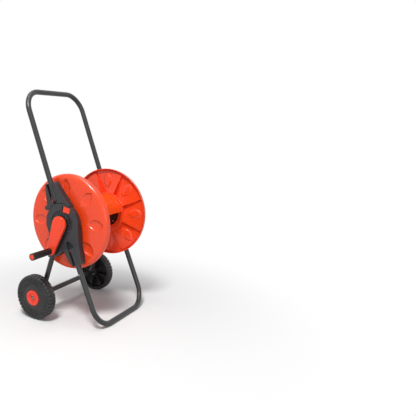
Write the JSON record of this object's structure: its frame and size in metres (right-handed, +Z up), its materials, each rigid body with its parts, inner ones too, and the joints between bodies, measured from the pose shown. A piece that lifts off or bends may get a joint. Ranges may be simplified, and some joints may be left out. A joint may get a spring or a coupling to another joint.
{
  "type": "garden hose reel cart",
  "caption": "Two-wheeled garden hose reel cart: bent tube frame, moulded side brackets, crank-turned reel with dished flanges.",
  "frame": {"origin": "on the floor, under the centre of the whole cart's bounding box", "axes": "+Z up; +X along the reel's axle, away from the crank; +Y towards the wheels and the handle"},
  "size_m": [0.4808, 0.3596, 0.8272],
  "materials": {
    "tube_paint": "satin powder coat",
    "zinc_steel": "zinc plated",
    "screw_steel": "zinc plated",
    "bracket_plastic": "fine moulded grain",
    "black_plastic": "moulded",
    "flange_plastic": "smooth moulded",
    "drum_plastic": "smooth moulded",
    "crank_plastic": "smooth moulded",
    "cap_plastic": "smooth moulded",
    "tyre_plastic": "matt, treaded",
    "grip_plastic": "fluted",
    "seal_rubber": "smooth"
  },
  "bodies": {
    "frame": {"handle_tube": "tube_paint", "foot_tube": "tube_paint", "left_strut_tube": "tube_paint", "right_strut_tube": "tube_paint", "axle_tube": "tube_paint", "axle_rod": "zinc_steel", "axle_plugs": "black_plastic", "left_upper_bracket": "bracket_plastic", "right_upper_bracket": "bracket_plastic", "left_lower_bracket": "bracket_plastic", "right_lower_bracket": "bracket_plastic", "bracket_screws": "screw_steel", "tube_screws": "screw_steel", "foot_rivets": "screw_steel", "wheel_washers": "zinc_steel", "push_nuts": "zinc_steel", "inlet_connector": "black_plastic", "inlet_screws": "screw_steel", "stem_seals": "seal_rubber"},
    "reel": {"left_flange": "flange_plastic", "right_flange": "flange_plastic", "upper_drum_shell": "drum_plastic", "lower_drum_shell": "drum_plastic", "drum_screws": "screw_steel", "crank_hub": "black_plastic", "inlet_hub": "black_plastic", "crank_hub_screws": "screw_steel", "inlet_hub_screws": "screw_steel", "crank_back_plate": "black_plastic", "crank_arm": "crank_plastic", "crank_screw": "screw_steel", "grip_pin": "zinc_steel", "feed_pipe": "black_plastic", "outlet_connector": "black_plastic"},
    "crank_grip": {"grip": "grip_plastic", "grip_cap": "cap_plastic"},
    "left_wheel_set": {"left_wheel": "tyre_plastic", "left_hub_cap": "cap_plastic", "left_wheel_bush": "black_plastic"},
    "right_wheel_set": {"right_wheel": "tyre_plastic", "right_hub_cap": "cap_plastic", "right_wheel_bush": "black_plastic"},
    "lock": {"lock_slider": "crank_plastic"}
  },
  "joints": [
    {"name": "reel_spin", "type": "hinge", "parent": "frame", "child": "reel", "pos_m": [0.03385, -0.01351, 0.366], "axis": [1, 0, 0], "continuous": true},
    {"name": "grip_spin", "type": "hinge", "parent": "reel", "child": "crank_grip", "pos_m": [-0.19615, 0.02554, 0.26531], "axis": [1, 0, 0], "continuous": true},
    {"name": "left_wheel_spin", "type": "hinge", "parent": "frame", "child": "left_wheel_set", "pos_m": [-0.15115, 0.09334, 0.0828], "axis": [1, 0, 0], "continuous": true},
    {"name": "right_wheel_spin", "type": "hinge", "parent": "frame", "child": "right_wheel_set", "pos_m": [0.21885, 0.09334, 0.0828], "axis": [1, 0, 0], "continuous": true},
    {"name": "lock_slide", "type": "slide", "parent": "frame", "child": "lock", "axis": [0, 0.9816, 0.1908], "range_m": [0, 0.0055]}
  ]
}
